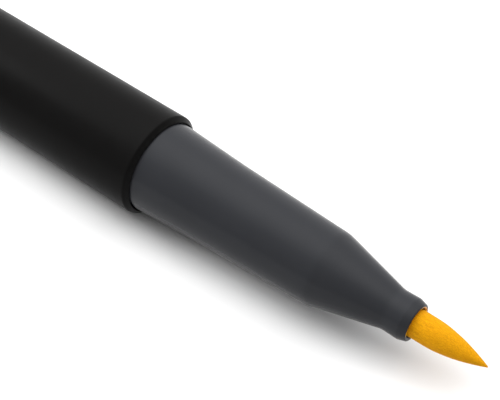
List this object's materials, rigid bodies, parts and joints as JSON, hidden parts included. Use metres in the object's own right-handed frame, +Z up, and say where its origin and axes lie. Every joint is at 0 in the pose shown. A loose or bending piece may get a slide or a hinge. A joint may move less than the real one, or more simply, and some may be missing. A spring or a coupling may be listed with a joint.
{
  "type": "calligraphy marker",
  "caption": "Uncapped brush-tip calligraphy marker with a tapered front section, a reversible felt nib, and a clip cap posted on the barrel's tail.",
  "frame": {"origin": "on the facet under the full-width barrel that the pen rests on, half way between the barrel's front rim and its tail shoulder, below the pen's axis", "axes": "+X along the pen towards the nib, +Y to the side that the cap's clip leans to, +Z up from the table"},
  "size_m": [0.1505, 0.0137, 0.012],
  "materials": {
    "barrel_black": "fine satin moulded black",
    "section_grey": "satin moulded dark grey",
    "nib_felt": "dense felt soaked with yellow ink",
    "reservoir_fibre": "bonded fibre soaked with yellow ink",
    "film": "thin smooth film",
    "plug_black": "fine satin moulded black",
    "cap_black": "fine satin moulded black",
    "seal_white": "soft natural polyethylene",
    "colour_code": "smooth moulded ink colour"
  },
  "bodies": {
    "pen": {"barrel_tube": "barrel_black", "front_section": "section_grey", "ink_reservoir": "reservoir_fibre", "reservoir_film": "film", "tail_plug": "plug_black"},
    "cap": {"cap_shell": "cap_black", "cap_inner_seal": "seal_white", "cap_end_plug": "colour_code"},
    "nib": {"brush_nib": "nib_felt"}
  },
  "joints": [
    {"name": "cap_pull", "type": "slide", "parent": "pen", "child": "cap", "axis": [-1, 0, 0], "range_m": [0, 0.025]},
    {"name": "nib_pull", "type": "slide", "parent": "pen", "child": "nib", "axis": [1, 0, 0], "range_m": [0, 0.035]}
  ]
}
